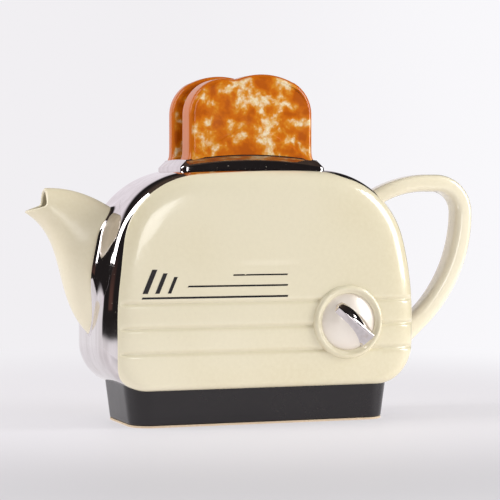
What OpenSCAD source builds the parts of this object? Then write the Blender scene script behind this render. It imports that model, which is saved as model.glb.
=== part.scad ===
// Two-slice toaster teapot: a glazed pot with a lift-off lid.
// Origin: centre of the flat foot, on the table. +Z up, +X towards the handle,
// -Y towards the front panel that carries the dial.

/* [Pot body] */
// Length of the pot body, spout and handle left out
body_len = 199; // [192:1:206]
// Depth of the pot body, front panel to rear panel
body_depth = 76; // [72:1:80]
// Height of the underside of the pot body above the table
body_bottom_z = 22; // [20:0.5:24]
// Height of the widest point of the ends
widest_z = 62; // [58:1:66]
// Radius of the gently leaning ends
side_r = 187; // [170:1:200]
// Radius of the two top shoulders
shoulder_r = 56; // [50:1:60]
// Radius of the two bottom corners
bottom_corner_r = 27; // [26:0.5:30]
// How far in from the outline the edge rounding reaches
edge_reach = 40; // [34:1:42]
// Squareness of the edge rounding, higher is squarer
edge_power = 5.5; // [4:0.1:6]
// Thickness of the cast clay wall
wall = 4; // [3.6:0.1:4.6]

/* [Panels] */
// Border of lustre left showing round the cream panel at the spout end
panel_inset_spout = 7.2; // [5:0.1:9]
// Border of lustre left showing round the cream panel at the handle end
panel_inset_handle = 1; // [0.8:0.1:3]
// Border of lustre left showing along the top of the cream panel
panel_inset_top = 1.4; // [1:0.1:3]
// Height of the lowest of the three grooves
groove_low_z = 43; // [40:0.5:46]
// Distance from one groove to the next
groove_pitch = 14.6; // [13:0.1:15]
// Depth of each groove
groove_depth = 1; // [0.6:0.1:1.4]
// Height of each groove
groove_height = 2.2; // [1.6:0.1:3]

/* [Base] */
// Length of the black base where it meets the foot
base_len = 165; // [160:1:168]
// Depth of the black base where it meets the foot
base_depth = 63; // [60:1:64]
// How much the black base widens on each side towards its top
base_draft = 2.7; // [1:0.1:3]
// Corner radius of the black base
base_corner_r = 21; // [18:0.5:24]
// Thickness of the unglazed foot
foot_height = 1.2; // [1:0.1:2]
// Thickness of the floor of the pot
floor_height = 4.5; // [4:0.1:6]

/* [Lid] */
// Distance of the lid's middle from the pot's middle
lid_x = -3.3; // [-4:0.1:0]
// Length of the lid
lid_len = 91.6; // [88:0.1:94]
// Depth of the lid
lid_depth = 50; // [48:0.5:52]
// Height of the lid's crown above the table
lid_top_z = 161.2; // [160:0.1:162]
// Drop of the lid's arched top towards its two ends
lid_arch = 3.4; // [1.6:0.1:3.6]
// Drop of the lid's top towards its front and rear edges
lid_crossfall = 0.5; // [0.2:0.1:1.6]
// Rounding of the lid's top edges
lid_edge_r = 4; // [3:0.1:5]
// Gap all round between the lid and its seat
lid_gap = 0.3; // [0.2:0.05:0.5]
// How far the lid's seat is sunk into the crown of the pot
seat_depth = 1.5; // [1:0.1:2]
// Length of the opening under the lid
mouth_len = 79; // [76:0.5:80]
// Depth of the opening under the lid
mouth_depth = 37; // [34:0.5:38]
// Height of the locating flange under the lid
flange_height = 12; // [10:0.5:14]
// Radius of the steam vent between the slices
vent_r = 1.5; // [1:0.1:2]

/* [Toast] */
// Width of a slice
toast_w = 78.5; // [76:0.5:79]
// Height of a slice above the lid's crown
toast_h = 47.8; // [45:0.1:49]
// Thickness of the front slice
toast_front_t = 18; // [14:0.5:18]
// Thickness of the rear slice
toast_rear_t = 10; // [9:0.5:13]
// Distance of the front slice's outer face from the lid's middle plane
toast_front_y = 20.5; // [20:0.1:21.5]
// Distance of the rear slice's outer face from the lid's middle plane
toast_rear_y = 21.5; // [20:0.1:22]
// Rounding of the crust edges
toast_edge_r = 3; // [2:0.1:3.5]
// How far the front slice stands to the right of the lid's middle
toast_front_shift = 0.4; // [-1:0.1:1]
// How far the turned rear slice stands to the left of the lid's middle
toast_rear_shift = 1; // [-1:0.1:1.5]

/* [Dial] */
// Distance of the dial's middle from the pot's middle
dial_x = 51.6; // [48:0.1:54]
// Height of the dial's middle
dial_z = 60.3; // [58:0.1:62]
// Outer diameter of the raised ring
bezel_d = 44.8; // [42:0.1:46]
// Diameter of the domed knob inside the ring
knob_d = 35.5; // [34:0.1:37]
// Height of the dome above the panel
knob_h = 6; // [5:0.1:7]
// Angle of the pointer below the horizontal
pointer_angle = 46; // [30:1:60]
// Length of the pointer
pointer_len = 31; // [28:0.5:33]
// Height of the pointer's wide end above the panel
pointer_h = 12; // [9:0.5:13]

/* [Spout and handle] */
// Half of the spout's width where it meets the pot
spout_root_w = 12.5; // [11:0.5:13]
// Half of the spout's width at the mouth
spout_mouth_w = 8.8; // [8:0.1:10]
// Wall of the spout
spout_wall = 3; // [2.5:0.1:3.2]
// Diameter of each strainer hole behind the spout
strainer_d = 5; // [4:0.5:6]
// Width of the handle, across the pot
handle_w = 17; // [15:0.5:18]
// Thickness of the handle along its top
handle_top_t = 10; // [9:0.5:11]
// Thickness of the handle down its back
handle_back_t = 12; // [11:0.5:13]

/* [Hidden] */

half_len = body_len / 2;
half_depth = body_depth / 2;
lean = 15;               // slope of the ends where the shoulders begin
crown_slope = 3.5;       // slope of the crown where the shoulders end
toe_r = 5;               // rounding of the panels' lower edges
edge_last = 24;          // inset at which the panels become flat
panel_start = 22;        // distance from the middle plane to the back of the panels
far = 400;               // longer than the whole teapot

// Centres of the arcs that make the right half of the front outline
side_c = [half_len - side_r, widest_z];
shoulder_c = side_c + (side_r - shoulder_r) * [cos(lean), sin(lean)];
crown_end = shoulder_c + shoulder_r * [sin(crown_slope), cos(crown_slope)];
crown_r = crown_end[0] / sin(crown_slope);
crown_c = crown_end - crown_r * [sin(crown_slope), cos(crown_slope)];
crown_z = crown_c[1] + crown_r;
seat_r = crown_r - seat_depth;

// Edge rounding of the body at angle t: [distance from the middle plane, inset]
function edge_station(t) = [
    half_depth * pow(sin(t), 2 / edge_power),
    edge_reach * (1 - pow(cos(t), 2 / edge_power))
];

// Stations from the rear panel to the front panel
rear_stations = concat(
    [[half_depth, edge_last]],
    [for (t = [76:-11:10]) edge_station(t)]
);
stations = concat(
    rear_stations,
    [for (k = [len(rear_stations) - 1:-1:0]) [-rear_stations[k][0], rear_stations[k][1]]]
);

// Rise of the underside towards the panels' lower edges
function toe_rise(y) =
    let (past = abs(y) - half_depth + toe_r)
        past < 0 ? 0 : toe_r - sqrt(pow(toe_r, 2) - pow(past, 2));

function arc(c, r, a0, a1, n) =
    [for (k = [0:n]) let (a = a0 + (a1 - a0) * k / n) c + r * [cos(a), sin(a)]];

// Right half of the front outline, moved in by e, with the underside at height z0
function half_outline(e, z0) = concat(
    arc([half_len - bottom_corner_r, z0 + bottom_corner_r - e], bottom_corner_r - e, -90, 0, 5),
    arc(side_c, side_r - e, 2, lean, 2),
    arc(shoulder_c, shoulder_r - e, lean + 10, 90 - crown_slope, 6),
    arc(crown_c, crown_r - e, 90 - crown_slope / 2, 90, 1)
);

// Whole front outline, anticlockwise from the right of the underside
function outline(e, z0) =
    let (right = half_outline(e, z0), n = len(right))
        concat(right, [for (k = [n - 2:-1:0]) [-right[k][0], right[k][1]]]);

// Closed skin through rings of points that all turn the same way about their path
module skin(rings) {
    n = len(rings[0]);
    m = len(rings);
    points = [for (ring = rings, p = ring) p];
    sides = [
        for (i = [0:m - 2], j = [0:n - 1])
            let (a = i * n + j, b = i * n + (j + 1) % n)
                each [[a, b + n, b], [a, a + n, b + n]]
    ];
    first = [for (j = [0:n - 1]) j];
    last = [for (j = [n - 1:-1:0]) (m - 1) * n + j];
    polyhedron(points, concat(sides, [first, last]));
}

// Lays a front outline drawn in X and Z at depth y
module at_depth(y, t) {
    translate([0, y, 0])
        rotate([90, 0, 0])
            linear_extrude(height = t, center = true) children();
}

// Pillow-shaped body, drawn in from its surface by depth d
module pillow(d) {
    skin([for (s = stations)
        let (
            y = s[0] * (half_depth - d) / half_depth,
            e = d + s[1] * (edge_last - d) / edge_last
        )
        [for (p = outline(e, body_bottom_z + d + toe_rise(s[0]))) [p[0], y, p[1]]]]);
}

module rounded_slab(l, d, r, z0, z1) {
    translate([0, 0, z0])
        linear_extrude(height = z1 - z0)
            offset(r = r) square([l - 2 * r, d - 2 * r], center = true);
}

// Tall well that joins the inside of the body to the inside of the base
module base_well(z1) {
    rounded_slab(base_len - 2 * wall - 2, base_depth - 2 * wall - 2, base_corner_r - wall,
        foot_height + floor_height, z1);
}

module hollow() {
    pillow(wall);
    base_well(body_bottom_z + 2 * wall);
}

// Everything outside the band, within the outline of a cream panel
module panel_prism(side) {
    squeeze = 1 - (panel_inset_spout + panel_inset_handle) / body_len;
    shift = (panel_inset_spout - panel_inset_handle) / 2;
    at_depth(side * (panel_start + far / 2), far)
        polygon([for (p = outline(0, body_bottom_z)) [shift + p[0] * squeeze, p[1] - panel_inset_top]]);
}

module grooves() {
    difference() {
        for (k = [0:2])
            translate([-far / 2, -far / 2, groove_low_z + k * groove_pitch - groove_height / 2])
                cube([far, far, groove_height]);
        pillow(groove_depth);
    }
}

module panel(side) {
    difference() {
        intersection() {
            pillow(0);
            panel_prism(side);
        }
        hollow();
        grooves();
    }
}

// Runs from the panel's surface outwards, dial axis at the origin
module on_dial() {
    translate([dial_x, -half_depth, dial_z])
        rotate([90, 0, 0]) children();
}

bezel_seat = 0.8;        // how far the dial is let into the panel
mouth_corner_r = 7;      // corner radius of the opening under the lid

module band_shell() color("gainsboro") {
    difference() {
        pillow(0);
        hollow();
        panel_prism(-1);
        panel_prism(1);
        lid_seat();
        translate([lid_x, 0, 0])
            rounded_slab(mouth_len, mouth_depth, mouth_corner_r,
                body_bottom_z + bottom_corner_r, lid_top_z);
        strainer();
    }
}

// Rows of holes through the end wall, inside the foot of the spout
module strainer() {
    rows = [[74, 1], [84, 2], [94, 1], [104, 2]];
    for (row = rows, k = [0:row[1] - 1])
        translate([-half_len + bottom_corner_r / 2, (k - (row[1] - 1) / 2) * 2 * strainer_d, row[0]])
            rotate([0, -90, 0])
                cylinder(h = bottom_corner_r, d = strainer_d, $fn = 24);
}

// Space that the lid sits in, down to an arched ledge
module lid_seat() {
    at_depth(0, lid_depth + 2 * lid_gap)
        difference() {
            translate([lid_x - lid_len / 2 - lid_gap, crown_z - 20])
                square([lid_len + 2 * lid_gap, 40]);
            translate(crown_c)
                circle(r = seat_r - lid_gap / 2, $fn = 720);
        }
}

module front_panel() color("cornsilk") {
    difference() {
        panel(-1);
        lid_seat();
        on_dial()
            translate([0, 0, -bezel_seat])
                cylinder(h = 3, d = bezel_d, $fn = 96);
    }
}

module rear_panel() color("cornsilk") {
    difference() {
        panel(1);
        lid_seat();
    }
}

module base_plinth() color([0.2, 0.18, 0.19]) {
    difference() {
        hull() {
            rounded_slab(base_len, base_depth, base_corner_r, foot_height, foot_height + 1);
            rounded_slab(base_len + 2 * base_draft, base_depth + 2 * base_draft,
                base_corner_r + base_draft, body_bottom_z, body_bottom_z + 8);
        }
        pillow(0);
        base_well(body_bottom_z + 2 * wall);
    }
}

module foot() color("tan")
    rounded_slab(base_len, base_depth, base_corner_r, 0, foot_height);

function bezier(p, t) =
    pow(1 - t, 3) * p[0] + 3 * pow(1 - t, 2) * t * p[1]
    + 3 * (1 - t) * pow(t, 2) * p[2] + pow(t, 3) * p[3];

// Upper and lower edges of the spout in X and Z, from inside the pot to the lip
spout_top = [[-76, 123], [-96, 137], [-112, 143], [-134, 140]];
spout_belly = [[-91, 47], [-125, 70], [-108, 108], [-137.3, 126.1]];
lip_start = 0.8;         // how far along the spout the lip begins to narrow

function spout_half_width(t) =
    (spout_root_w + (spout_mouth_w - spout_root_w) * t)
    * (t < lip_start ? 1 : sqrt(1 - 0.8 * pow((t - lip_start) / (1 - lip_start), 2)));

// Oval ring across the spout at t, drawn in from its surface by inset
function spout_ring(t, inset, n = 20) =
    let (
        top = bezier(spout_top, t),
        belly = bezier(spout_belly, t),
        mid = (top + belly) / 2,
        rise = top - belly,
        half = norm(rise) / 2 - inset,
        up = rise / norm(rise),
        wide = spout_half_width(t) - inset
    )
    [for (k = [0:n - 1])
        let (a = 360 * k / n, p = mid + up * half * cos(a))
            [p[0], wide * sin(a), p[1]]];

module spout() color("cornsilk") {
    difference() {
        skin([for (k = [0:14]) spout_ring(k / 14, 0)]);
        skin([for (k = [0:14]) spout_ring(k / 14, spout_wall)]);
        lip_cut();
        pillow(0);
    }
}

// Opens the mouth above the pouring lip
module lip_cut() {
    at_depth(0, body_depth)
        polygon([[-125.4, 160], [-125.4, 130], [-137.5, 126.5], [-150, 126.5], [-150, 160]]);
}

// Arcs of the handle's middle line in X and Z: [centre, radius, first angle, last angle]
handle_rise = [[119, 75.3], 68.5, 128, 90];
handle_bend = [[125.5, 125.3], 18.5, 90, 0];
handle_fall = [[54.2, 125.3], 89.8, 0, -62];

function along(a, f) =
    let (g = a[2] + (a[3] - a[2]) * f)
        [a[0] + a[1] * [cos(g), sin(g)], [cos(g), sin(g)]];

handle_line = concat(
    [for (k = [0:6]) along(handle_rise, k / 6)],
    [for (k = [0:6]) along(handle_bend, k / 6)],
    [for (k = [1:9]) along(handle_fall, k / 9)]
);

// Rounded ring across the handle, thick along its outward direction
function handle_ring(s, t, n = 20) =
    [for (k = [0:n - 1])
        let (
            a = 360 * (k + 0.5) / n,
            out = t / 2 * sign(cos(a)) * pow(abs(cos(a)), 0.6),
            across = handle_w / 2 * sign(sin(a)) * pow(abs(sin(a)), 0.6),
            p = s[0] + s[1] * out
        )
        [p[0], across, p[1]]];

module handle() color("cornsilk") {
    last = len(handle_line) - 1;
    difference() {
        skin([for (k = [0:last])
            handle_ring(handle_line[last - k],
                handle_top_t + (handle_back_t - handle_top_t) * min(1, 2 * (last - k) / last))]);
        pillow(0);
    }
}

bezel_w = (bezel_d - knob_d) / 2;
bezel_side = 0.6;        // straight side of the ring below its round crest

module dial_bezel() color("cornsilk") {
    on_dial()
        rotate_extrude($fn = 96)
            translate([knob_d / 2, 0]) {
                translate([0, -bezel_seat])
                    square([bezel_w, bezel_seat + bezel_side]);
                translate([bezel_w / 2, bezel_side])
                    intersection() {
                        circle(d = bezel_w, $fn = 32);
                        translate([-bezel_w / 2, 0]) square(bezel_w);
                    }
            }
}

module dome() {
    dome_r = (pow(knob_d / 2, 2) + pow(knob_h, 2)) / (2 * knob_h);
    on_dial()
        intersection() {
            translate([0, 0, knob_h - dome_r])
                sphere(r = dome_r, $fn = 96);
            translate([0, 0, -bezel_seat])
                cylinder(h = knob_h + bezel_seat, d = knob_d - 0.02, $fn = 96);
        }
}

module dial_knob() color("whitesmoke") dome();

module dial_pointer() color("silver") {
    difference() {
        on_dial()
            rotate([0, 0, -pointer_angle])
                hull() {
                    translate([-pointer_len / 2 + 2, 0, 0])
                        cylinder(h = pointer_h / 3, r = 2, $fn = 32);
                    translate([pointer_len / 2 - 1, -6, 0])
                        cube([1, 12, pointer_h / 2]);
                    translate([pointer_len / 2 - 1, -1.5, 0])
                        cube([1, 3, pointer_h]);
                }
        dome();
    }
}

// Solid of the lid with its rounded edges and arched underside
module lid_plate() color("gainsboro") {
    difference() {
        intersection() {
            at_depth(0, lid_depth)
                difference() {
                    translate([lid_x, 0]) rounded_section(lid_len, lid_arch);
                    translate(crown_c) circle(r = seat_r, $fn = 720);
                }
            translate([lid_x, 0, 0])
                rotate([90, 0, 90])
                    linear_extrude(height = lid_len, center = true)
                        rounded_section(lid_depth, lid_crossfall);
            translate([lid_x, 0, 0])
                rounded_slab(lid_len, lid_depth, lid_edge_r, crown_z - 20, lid_top_z + 1);
        }
        translate([lid_x, 0, crown_z - 10])
            cylinder(h = 30, r = vent_r, $fn = 24);
    }
}

// Section through the lid: straight sides, round shoulders and a top that drops by sag
module rounded_section(w, sag) {
    top_r = (pow(w / 2 - lid_edge_r, 2) + pow(sag, 2)) / (2 * sag);
    intersection() {
        hull()
            for (side = [-1, 1]) {
                translate([side * (w / 2 - lid_edge_r), lid_top_z - sag - lid_edge_r])
                    circle(r = lid_edge_r, $fn = 48);
                translate([side * (w / 2 - 0.5) - 0.5, crown_z - 10])
                    square([1, 1]);
                translate([-0.5, lid_top_z - 1])
                    square([1, 1]);
            }
        translate([0, lid_top_z - top_r])
            circle(r = top_r, $fn = 720);
    }
}

module lid_flange() color("cornsilk") {
    l = mouth_len - 2;
    d = mouth_depth - 2;
    flange_wall = 4;
    flange_corner_r = mouth_corner_r - 1;
    difference() {
        translate([lid_x, 0, 0])
            rounded_slab(l, d, flange_corner_r, crown_z - seat_depth - flange_height, crown_z + 1);
        translate([lid_x, 0, 0])
            rounded_slab(l - 2 * flange_wall, d - 2 * flange_wall,
                flange_corner_r - flange_wall + 0.5, 0, far);
        at_depth(0, far)
            difference() {
                translate([-far / 2, crown_z - 20]) square([far, 60]);
                translate(crown_c) circle(r = seat_r, $fn = 720);
            }
    }
}

// Circles that make the outline of a slice, from its own middle: [x, z, radius]
toast_top = lid_top_z + toast_h;
crown_lobe = [7.5, toast_top - 42, 42];
right_lobe = [toast_w / 2 - 22.5, toast_top - 24, 22];
left_lobe = [-toast_w / 2 + 22, toast_top - 25, 22];
dip_r = 16;
toast_sink = 6;          // how far a slice reaches below the lid's crown before it is trimmed
dip = above(left_lobe, crown_lobe, dip_r);

// Centre of a circle of radius r that rests on top of circles a and b
function above(a, b, r) =
    let (
        to_b = [b[0] - a[0], b[1] - a[1]],
        d = norm(to_b),
        ra = a[2] + r,
        rb = b[2] + r,
        along_ab = (d * d + ra * ra - rb * rb) / (2 * d),
        off_ab = sqrt(ra * ra - along_ab * along_ab)
    )
    [a[0], a[1]] + along_ab * to_b / d + off_ab * [-to_b[1], to_b[0]] / d;

function centre(c) = [c[0], c[1]];
function bearing(from, to) = atan2(to[1] - from[1], to[0] - from[0]);

// Outline of a slice moved in by e, anticlockwise from its right foot
function toast_outline(e) =
    let (
        join = bearing(crown_lobe, right_lobe),
        dip_right = bearing(dip, crown_lobe),
        dip_left = bearing(dip, left_lobe),
        foot_z = lid_top_z - toast_sink
    )
    concat(
        [[toast_w / 2 - e, foot_z]],
        arc(centre(right_lobe), right_lobe[2] - e, 0, join, 6),
        arc(centre(crown_lobe), crown_lobe[2] - e, join + 4, bearing(crown_lobe, dip), 4),
        arc(dip, dip_r + e, dip_right, dip_left, 3),
        arc(centre(left_lobe), left_lobe[2] - e, bearing(left_lobe, dip), 180, 9),
        [[-toast_w / 2 + e, foot_z]]
    );

// A slice from y0 to y1 with rounded crusts, about its own middle
module toast_slice(y0, y1) {
    r = toast_edge_r;
    bends = [90, 60, 30, 0];
    back = [for (a = bends) [y1 - r * (1 - sin(a)), r * (1 - cos(a))]];
    front = [for (k = [3:-1:0]) [y0 + r * (1 - sin(bends[k])), r * (1 - cos(bends[k]))]];
    skin([for (s = concat(back, front))
        [for (p = toast_outline(s[1])) [p[0], s[0], p[1]]]]);
}

module toast_front() color("chocolate") {
    difference() {
        translate([lid_x + toast_front_shift, 0, 0])
            toast_slice(-toast_front_y, -toast_front_y + toast_front_t);
        lid_plate();
    }
}

module toast_rear() color("chocolate") {
    difference() {
        translate([lid_x - toast_rear_shift, 0, 0])
            mirror([1, 0, 0])
                toast_slice(toast_rear_y - toast_rear_t, toast_rear_y);
        lid_plate();
    }
}

band_shell();
front_panel();
rear_panel();
base_plinth();
foot();
spout();
handle();
dial_bezel();
dial_knob();
dial_pointer();
lid_plate();
lid_flange();
toast_front();
toast_rear();
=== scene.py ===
"""Toaster-shaped teapot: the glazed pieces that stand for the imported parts.

Lengths are in millimetres until a mesh is made, when MM turns them into metres.
"""

import math

import bmesh
import bpy
import numpy as np
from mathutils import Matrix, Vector


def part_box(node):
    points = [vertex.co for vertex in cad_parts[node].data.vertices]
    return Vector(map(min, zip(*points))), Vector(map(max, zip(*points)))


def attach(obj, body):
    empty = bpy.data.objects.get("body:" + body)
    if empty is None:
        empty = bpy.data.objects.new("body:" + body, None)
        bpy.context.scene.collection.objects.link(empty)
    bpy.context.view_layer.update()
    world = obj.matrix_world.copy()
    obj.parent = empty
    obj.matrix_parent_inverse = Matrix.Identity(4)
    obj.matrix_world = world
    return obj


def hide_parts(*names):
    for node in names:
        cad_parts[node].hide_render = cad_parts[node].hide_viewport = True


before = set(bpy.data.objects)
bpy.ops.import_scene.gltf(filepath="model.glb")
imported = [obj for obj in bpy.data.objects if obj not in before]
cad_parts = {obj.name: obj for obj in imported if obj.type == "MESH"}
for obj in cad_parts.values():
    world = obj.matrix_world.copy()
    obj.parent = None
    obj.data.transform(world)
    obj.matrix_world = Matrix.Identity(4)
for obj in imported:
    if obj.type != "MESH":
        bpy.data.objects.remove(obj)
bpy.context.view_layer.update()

MM = 0.001


def node_box(name):
    """Lowest and highest corners of a CAD node, in millimetres."""
    low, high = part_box(name)
    return np.array(low) / MM, np.array(high) / MM


# ---------------------------------------------------------------- sizes

BAND_LOW, BAND_HIGH = node_box("band_shell")
PANEL_LOW, _ = node_box("front_panel")
BASE_LOW, BASE_HIGH = node_box("base_plinth")
FOOT_LOW, FOOT_HIGH = node_box("foot")
LID_LOW, LID_HIGH = node_box("lid_plate")
FLANGE_LOW, FLANGE_HIGH = node_box("lid_flange")
BEZEL_LOW, BEZEL_HIGH = node_box("dial_bezel")
KNOB_LOW, KNOB_HIGH = node_box("dial_knob")
POINTER_LOW, _ = node_box("dial_pointer")

# The body's front outline: a corner, a long side arc, a shoulder arc and a nearly flat crown.
HALF_LEN = BAND_HIGH[0]
HALF_DEPTH = -PANEL_LOW[1]
BOTTOM_Z = BAND_LOW[2]
WIDEST_Z = 62.0
SIDE_R = 187.0
SHOULDER_R = 56.0
CORNER_R = 27.0
LEAN = math.radians(15)
CROWN_SLOPE = math.radians(3.5)
# From front to rear, each outline is drawn in along a superellipse, as far as the flat face.
EDGE_REACH = 40.0
EDGE_POWER = 5.5
EDGE_LAST = 24.0
TOE_R = 5.0
WALL = 4.0

SIDE_C = np.array([HALF_LEN - SIDE_R, WIDEST_Z])
SHOULDER_C = SIDE_C + (SIDE_R - SHOULDER_R) * np.array([math.cos(LEAN), math.sin(LEAN)])
CROWN_R = (SHOULDER_C[0] + SHOULDER_R * math.sin(CROWN_SLOPE)) / math.sin(CROWN_SLOPE)
CROWN_C = np.array([0, SHOULDER_C[1] + (SHOULDER_R - CROWN_R) * math.cos(CROWN_SLOPE)])

GROOVE_ZS = [44.1, 58.7, 73.3]
GROOVE_DEPTH = 1.3
GROOVE_ABOVE = 1.3
GROOVE_BELOW = 1.05

LID_X = (LID_LOW[0] + LID_HIGH[0]) / 2
LID_HALF = (LID_HIGH - LID_LOW) / 2
LID_TOP = LID_HIGH[2]
LID_EDGE_R = 4.0
LID_ARCH = 3.4
LID_CROSSFALL = 0.5
SEAT_DEPTH = 1.5
SEAT_GAP = 0.3

TOAST_EDGE_R = 3.1
DIAL_X = (BEZEL_LOW[0] + BEZEL_HIGH[0]) / 2
DIAL_Z = (BEZEL_LOW[2] + BEZEL_HIGH[2]) / 2
KNOB_R = (KNOB_HIGH[0] - KNOB_LOW[0]) / 2


def smooth(x):
    """0 below 0, 1 above 1, and an even ramp between."""
    x = np.clip(x, 0, 1)
    return x * x * (3 - 2 * x)


def full_turn(count):
    """Angles spaced evenly round a circle."""
    return np.linspace(0, 2 * math.pi, count, endpoint=False)


def circle(cx, cy, radius, count):
    return [(cx + radius * math.cos(a), cy + radius * math.sin(a)) for a in full_turn(count)]


# ---------------------------------------------------------------- meshes

class Solid:
    """Points and faces of one piece, gathered grid by grid, and welded when it is made."""

    def __init__(self):
        self.points = []
        self.tones = []
        self.faces = []
        self.looks = []

    def grid(self, rows, closed=False, look=0, tones=None):
        """A sheet of quads through rows of points. A closed sheet joins each row's ends."""
        first = len(self.points)
        width = len(rows[0])
        for i, row in enumerate(rows):
            for j, point in enumerate(row):
                self.points.append(tuple(float(c) for c in point))
                self.tones.append(0.0 if tones is None else float(tones[i][j]))
        spans = width if closed else width - 1
        for i in range(len(rows) - 1):
            for j in range(spans):
                a = first + i * width + j
                b = first + i * width + (j + 1) % width
                self.faces.append((a, b, b + width, a + width))
                self.looks.append(look)

    def cap(self, loop, rings, lift=None, look=0, tone=0.0, inner_tone=None):
        """Closes a loop with rings that shrink to its middle. lift moves each ring's points."""
        loop = np.array(loop, float)
        middle = (loop.min(0) + loop.max(0)) / 2
        rows = []
        tones = []
        last_tone = tone if inner_tone is None else inner_tone
        for k in range(rings + 1):
            shrink = 1 - 0.995 * k / rings
            ring = middle + (loop - middle) * shrink
            if lift is not None:
                ring = np.array([lift(p) for p in ring])
            rows.append(ring)
            share = smooth(k / rings * 3)
            tones.append(np.full(len(ring), tone + (last_tone - tone) * share))
        self.grid(rows, closed=True, look=look, tones=tones)
        self.face_of_last(len(loop), look)

    def face_of_last(self, count, look=0):
        """One flat face through the last points."""
        end = len(self.points)
        self.faces.append(tuple(range(end - count, end)))
        self.looks.append(look)

    def end_cap(self, row):
        """A single face that closes the end of an open sheet."""
        self.points += [tuple(float(c) for c in p) for p in row]
        self.tones += [0.0] * len(row)
        self.face_of_last(len(row))

    def make(self, name, materials, sharp=38.0):
        """The finished object, smooth except where faces meet at more than the sharp angle."""
        mesh = bpy.data.meshes.new(name)
        mesh.from_pydata([[c * MM for c in p] for p in self.points], [], self.faces)
        for material in materials:
            mesh.materials.append(material)
        for polygon, look in zip(mesh.polygons, self.looks):
            polygon.material_index = look
        tone = mesh.attributes.new("tone", "FLOAT", "POINT")
        tone.data.foreach_set("value", self.tones)
        work = bmesh.new()
        work.from_mesh(mesh)
        bmesh.ops.remove_doubles(work, verts=work.verts, dist=2e-6)
        bmesh.ops.dissolve_degenerate(work, edges=work.edges, dist=1e-7)
        bmesh.ops.recalc_face_normals(work, faces=work.faces)
        work.to_mesh(mesh)
        work.free()
        finish_shading(mesh, sharp)
        piece = bpy.data.objects.new(name, mesh)
        bpy.context.scene.collection.objects.link(piece)
        return piece


def finish_shading(mesh, sharp):
    """Smooth shading, with hard edges past the sharp angle."""
    for polygon in mesh.polygons:
        polygon.use_smooth = True
    mesh.set_sharp_from_angle(angle=math.radians(sharp))
    mesh.update()


def cut(piece, cutters, sharp=38.0):
    """Takes solid cutters away from a piece, and removes them."""
    for cutter in cutters:
        boolean = piece.modifiers.new("cut", "BOOLEAN")
        boolean.operation = "DIFFERENCE"
        boolean.solver = "EXACT"
        boolean.object = cutter
    bpy.context.view_layer.update()
    graph = bpy.context.evaluated_depsgraph_get()
    mesh = bpy.data.meshes.new_from_object(piece.evaluated_get(graph))
    piece.modifiers.clear()
    piece.data = mesh
    for cutter in cutters:
        bpy.data.objects.remove(cutter)
    finish_shading(mesh, sharp)
    return piece


def place(piece, body, slot, *nodes):
    """Puts a piece on its body, in place of the CAD nodes that it stands for, and hides those
    nodes. slot is not used.
    """
    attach(piece, body)
    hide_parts(*nodes)


# ---------------------------------------------------------------- the body's surface

def edge_depth(inset):
    """Distance from the middle plane at which the body's outline has come in by inset."""
    share = np.clip((EDGE_REACH - inset) / EDGE_REACH, 0, 1)
    return HALF_DEPTH * (1 - share ** EDGE_POWER) ** (1 / EDGE_POWER)


def edge_inset(y):
    """How far the body's outline has come in at a distance from the middle plane."""
    share = np.clip(np.abs(y) / HALF_DEPTH, 0, 1)
    return EDGE_REACH * (1 - (1 - share ** EDGE_POWER) ** (1 / EDGE_POWER))


def underside(y):
    """Height of the underside, which rises towards the panels' lower edges."""
    past = np.clip(np.abs(y) - HALF_DEPTH + TOE_R, 0, TOE_R)
    return BOTTOM_Z + TOE_R - np.sqrt(TOE_R ** 2 - past ** 2)


FLAT_COUNT = 30
CROWN_COUNT = 31


def stations():
    """Right half of the front outline, from the middle of the underside to the crown.

    Each station is a centre, how far its height follows the underside, a radius and an
    angle, so that an outline drawn in by any inset has the same number of points.
    """
    rows = []
    straight_end = HALF_LEN - CORNER_R
    for x in np.linspace(0, straight_end, FLAT_COUNT, endpoint=False):
        rows.append((x, 0, 1, CORNER_R, -90))
    # Stations lie closest together where the grooves run into the sides.
    for first, last, count in ((-90, -30, 14), (-30, 0, 24)):
        for a in np.linspace(first, last, count, endpoint=False):
            rows.append((straight_end, 0, 1, CORNER_R, a))
    for f in np.linspace(0, 1, 76, endpoint=False):
        rows.append((SIDE_C[0], f * WIDEST_Z, 1 - f, SIDE_R, 0))
    lean = math.degrees(LEAN)
    for first, last, count in ((0, 5.2, 38), (5.2, lean, 16)):
        for a in np.linspace(first, last, count, endpoint=False):
            rows.append((*SIDE_C, 0, SIDE_R, a))
    top = 90 - math.degrees(CROWN_SLOPE)
    for a in np.linspace(lean, top, 46, endpoint=False):
        rows.append((*SHOULDER_C, 0, SHOULDER_R, a))
    for a in np.linspace(top, 90, CROWN_COUNT):
        rows.append((*CROWN_C, 0, CROWN_R, a))
    return np.array(rows)


HALF = stations()
# The whole loop, anticlockwise from the middle of the underside.
LOOP = np.concatenate([HALF, HALF[-2:0:-1]])
LOOP_SIDE = np.concatenate([np.ones(len(HALF)), -np.ones(len(HALF) - 2)])
# Places in the loop: the flat underside and the crown from left to right, and the right side.
ALONG_UNDERSIDE = np.arange(-FLAT_COUNT, FLAT_COUNT + 1) % len(LOOP)
ALONG_CROWN = len(HALF) - 1 + np.arange(CROWN_COUNT - 1, -CROWN_COUNT, -1)
UP_SIDE = np.arange(FLAT_COUNT, len(HALF) - CROWN_COUNT + 1)


def outline(inset, floor_z):
    """The loop's points in X and Z, drawn in by inset, over an underside at floor_z."""
    cx, base, low, radius, angle = LOOP.T
    angle = np.radians(angle)
    x = cx + (radius - inset) * np.cos(angle)
    z = base + low * (floor_z + CORNER_R - inset) + (radius - inset) * np.sin(angle)
    return LOOP_SIDE * x, z


def outline_normal():
    """The loop's outward normals in X and Z."""
    angle = np.radians(LOOP[:, 4])
    return LOOP_SIDE * np.cos(angle), np.sin(angle)


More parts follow.
